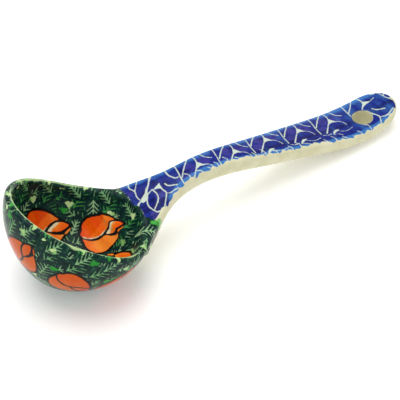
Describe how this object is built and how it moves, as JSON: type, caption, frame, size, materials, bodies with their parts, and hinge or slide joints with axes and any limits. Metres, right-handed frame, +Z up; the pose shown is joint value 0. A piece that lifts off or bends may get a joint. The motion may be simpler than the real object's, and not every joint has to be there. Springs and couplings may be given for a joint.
{
  "type": "gravy ladle",
  "caption": "Hand-painted glazed stoneware gravy ladle with a deep round bowl and a flared strap handle with a hang hole.",
  "frame": {"origin": "centre of the small flat spot under the bowl, on the surface the ladle lies on", "axes": "+X from the bowl towards the handle's tip, +Y across the bowl, +Z up as the ladle lies on a table"},
  "size_m": [0.203, 0.062, 0.0455],
  "materials": {
    "green_rose_glaze": "glossy clear glaze over hand-painted dark green leaves and orange rosebuds",
    "blue_petal_glaze": "glossy clear glaze over hand-painted cobalt petals on top, bare cream clay under the glaze on the sides and underside"
  },
  "bodies": {
    "root": {"bowl": "green_rose_glaze", "handle": "blue_petal_glaze"}
  },
  "joints": []
}
